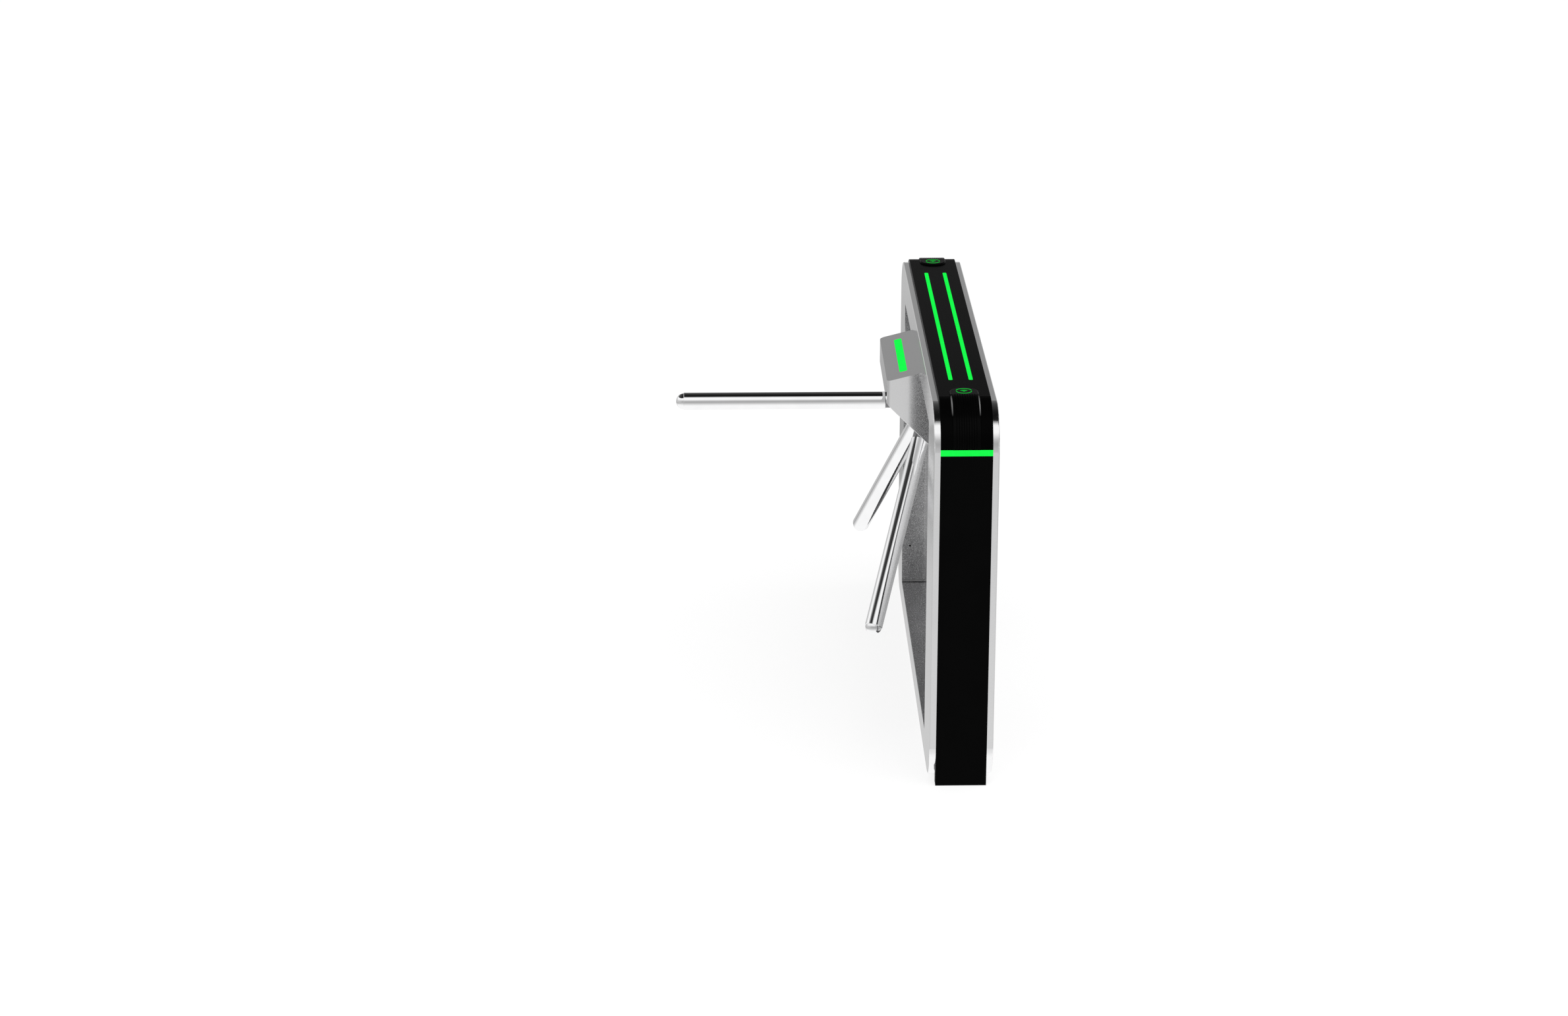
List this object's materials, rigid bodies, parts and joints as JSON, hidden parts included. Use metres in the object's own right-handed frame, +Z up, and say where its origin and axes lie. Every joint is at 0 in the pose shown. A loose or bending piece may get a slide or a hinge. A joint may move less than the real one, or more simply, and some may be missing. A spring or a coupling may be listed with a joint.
{
  "type": "tripod turnstile",
  "caption": "Slim floor-standing tripod turnstile: rounded steel sides round a black core, lit strips on top, reader pads at the ends and a slanted rotor with tubular arms.",
  "frame": {"origin": "on the floor, in the middle of the anchor holes in the base plate", "axes": "+Z up, Y along the cabinet's length, X across it, with the arms reaching towards -X"},
  "size_m": [0.789, 1.484, 0.9902],
  "materials": {
    "satin_steel": "satin stainless steel",
    "polished_steel": "polished stainless steel",
    "cap_steel": "polished stainless steel",
    "hub_metal": "satin cast aluminium",
    "black_paint": "matte black powder coat",
    "black_cover": "matte black powder coat",
    "black_plastic": "matte black moulding",
    "grey_plastic": "matte grey moulding",
    "green_light": "lit green diffuser",
    "circuit_board": "green solder mask",
    "galvanised_steel": "galvanised sheet",
    "machined_steel": "machined steel",
    "bolt_steel": "zinc-plated steel",
    "cast_iron": "machined cast iron",
    "aluminium": "anodised aluminium",
    "brass": "cut brass",
    "rubber": "black rubber"
  },
  "bodies": {
    "cabinet": {"base_plate": "galvanised_steel", "cable_grommet": "rubber", "front_mid_bulkhead": "galvanised_steel", "rear_mid_bulkhead": "galvanised_steel", "front_end_bulkhead": "galvanised_steel", "rear_end_bulkhead": "galvanised_steel", "top_rail": "galvanised_steel", "left_side_panel": "satin_steel", "right_side_panel": "satin_steel", "front_panel": "black_paint", "rear_panel": "black_paint", "front_light_band": "green_light", "rear_light_band": "green_light", "top_cover": "black_cover", "left_top_light": "green_light", "right_top_light": "green_light", "top_light_boards": "circuit_board", "front_reader_pad": "black_plastic", "rear_reader_pad": "black_plastic", "front_ring_light": "green_light", "rear_ring_light": "green_light", "reader_boards": "circuit_board", "sensor_eye": "black_plastic", "head_housing": "satin_steel", "head_light": "green_light", "head_bolts": "bolt_steel", "mechanism_plate": "galvanised_steel", "front_mechanism_cheek": "galvanised_steel", "rear_mechanism_cheek": "galvanised_steel", "cheek_bolts": "bolt_steel", "bearing_housing": "cast_iron", "bearing_bolts": "bolt_steel", "shaft_bearings": "machined_steel", "damper_body": "aluminium", "position_sensor": "black_plastic", "pawl_pins": "machined_steel", "front_solenoid": "bolt_steel", "rear_solenoid": "bolt_steel", "equipment_tray": "galvanised_steel", "power_supply": "aluminium", "terminal_block": "grey_plastic", "control_board": "circuit_board"},
    "tripod": {"main_shaft": "machined_steel", "tripod_hub": "hub_metal", "hub_bolt": "bolt_steel", "hub_cap": "hub_metal", "arm_1": "polished_steel", "arm_2": "polished_steel", "arm_3": "polished_steel", "arm_end_caps": "cap_steel", "arm_set_screws": "bolt_steel", "index_disc": "machined_steel", "drive_gear": "brass", "encoder_disc": "black_plastic"},
    "damper_rotor": {"damper_pinion": "machined_steel"},
    "front_pawl": {"front_lock_pawl": "machined_steel"},
    "rear_pawl": {"rear_lock_pawl": "machined_steel"},
    "front_core": {"front_plunger": "machined_steel"},
    "rear_core": {"rear_plunger": "machined_steel"}
  },
  "joints": [
    {"name": "tripod_spin", "type": "hinge", "parent": "cabinet", "child": "tripod", "pos_m": [-0.043, 0, 0.777], "axis": [-0.7071, 0, -0.7071], "continuous": true},
    {"name": "damper_spin", "type": "hinge", "parent": "cabinet", "child": "damper_rotor", "pos_m": [-0.06563, 0.05543, 0.79963], "axis": [-0.7071, 0, -0.7071], "continuous": true},
    {"name": "front_pawl_swing", "type": "hinge", "parent": "cabinet", "child": "front_pawl", "pos_m": [-0.01979, -0.06514, 0.75379], "axis": [0.7071, 0, 0.7071], "range_deg": [0, 10], "stiffness_Nm_per_rad": 0.3, "springref_deg": -20.05},
    {"name": "rear_pawl_swing", "type": "hinge", "parent": "cabinet", "child": "rear_pawl", "pos_m": [-0.01979, 0.06514, 0.75379], "axis": [-0.7071, 0, -0.7071], "range_deg": [0, 10], "stiffness_Nm_per_rad": 0.3, "springref_deg": -20.05},
    {"name": "front_plunger_slide", "type": "slide", "parent": "cabinet", "child": "front_core", "axis": [0, -1, 0], "range_m": [0, 0.0045]},
    {"name": "rear_plunger_slide", "type": "slide", "parent": "cabinet", "child": "rear_core", "axis": [0, 1, 0], "range_m": [0, 0.0045]}
  ],
  "couplings": [
    {"joint": "damper_spin", "follows": "tripod_spin", "ratio": -3},
    {"joint": "front_plunger_slide", "follows": "front_pawl_swing", "m_per_rad": 0.0252},
    {"joint": "rear_plunger_slide", "follows": "rear_pawl_swing", "m_per_rad": 0.0252}
  ]
}
